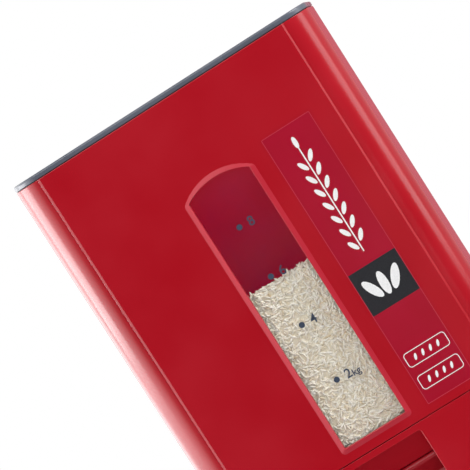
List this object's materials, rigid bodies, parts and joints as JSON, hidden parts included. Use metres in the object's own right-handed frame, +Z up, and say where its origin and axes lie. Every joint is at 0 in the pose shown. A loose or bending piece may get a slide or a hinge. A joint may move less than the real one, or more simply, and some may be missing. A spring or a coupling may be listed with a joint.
{
  "type": "rice storage bin",
  "caption": "Upright rice bin with a hinged lid, level window, front lever that turns a measuring drum, and a pull-out tray for the measured rice.",
  "frame": {"origin": "middle of the footprint, on the floor under the feet", "axes": "+Z up, -Y out of the front with the window and lever, +X to the right as seen from the front"},
  "size_m": [0.24, 0.2622, 0.4315],
  "materials": {
    "red_abs": "polished moulding",
    "clear_plastic": "clear",
    "label": "film",
    "rubber": "matte",
    "steel": "zinc plated",
    "slate_plastic": "satin moulding",
    "grey_plastic": "moulded",
    "white_plastic": "moulded"
  },
  "bodies": {
    "bin": {"tank_shell": "red_abs", "window_pane": "clear_plastic", "window_seal": "rubber", "label_film": "label", "hopper_funnel": "red_abs", "hopper_gasket": "rubber", "base_shell": "red_abs", "bottom_plate": "grey_plastic", "rubber_feet": "rubber", "bottom_screws": "steel", "drum_housing": "white_plastic", "housing_cover": "white_plastic", "cover_screws": "steel", "housing_screws": "steel", "axle_bushes": "white_plastic", "return_spring": "steel", "hinge_pins": "steel"},
    "lid": {"lid_panel": "slate_plastic", "lid_seal": "rubber"},
    "lever": {"measuring_drum": "red_abs", "press_lever": "red_abs", "spring_collar": "grey_plastic", "axle_clip": "steel"},
    "tray": {"rice_tray": "white_plastic", "tray_front": "red_abs", "tray_screws": "steel"}
  },
  "joints": [
    {"name": "lid_hinge", "type": "hinge", "parent": "bin", "child": "lid", "pos_m": [0, 0.1244, 0.4262], "axis": [-1, 0, 0], "range_deg": [0, 100]},
    {"name": "lever_press", "type": "hinge", "parent": "bin", "child": "lever", "pos_m": [0, -0.064, 0.076], "axis": [1, 0, 0], "range_deg": [0, 53], "stiffness_Nm_per_rad": 0.35, "springref_deg": -28.65, "deforming": ["return_spring"]},
    {"name": "tray_slide", "type": "slide", "parent": "bin", "child": "tray", "axis": [0, -1, 0], "range_m": [0, 0.12]}
  ]
}
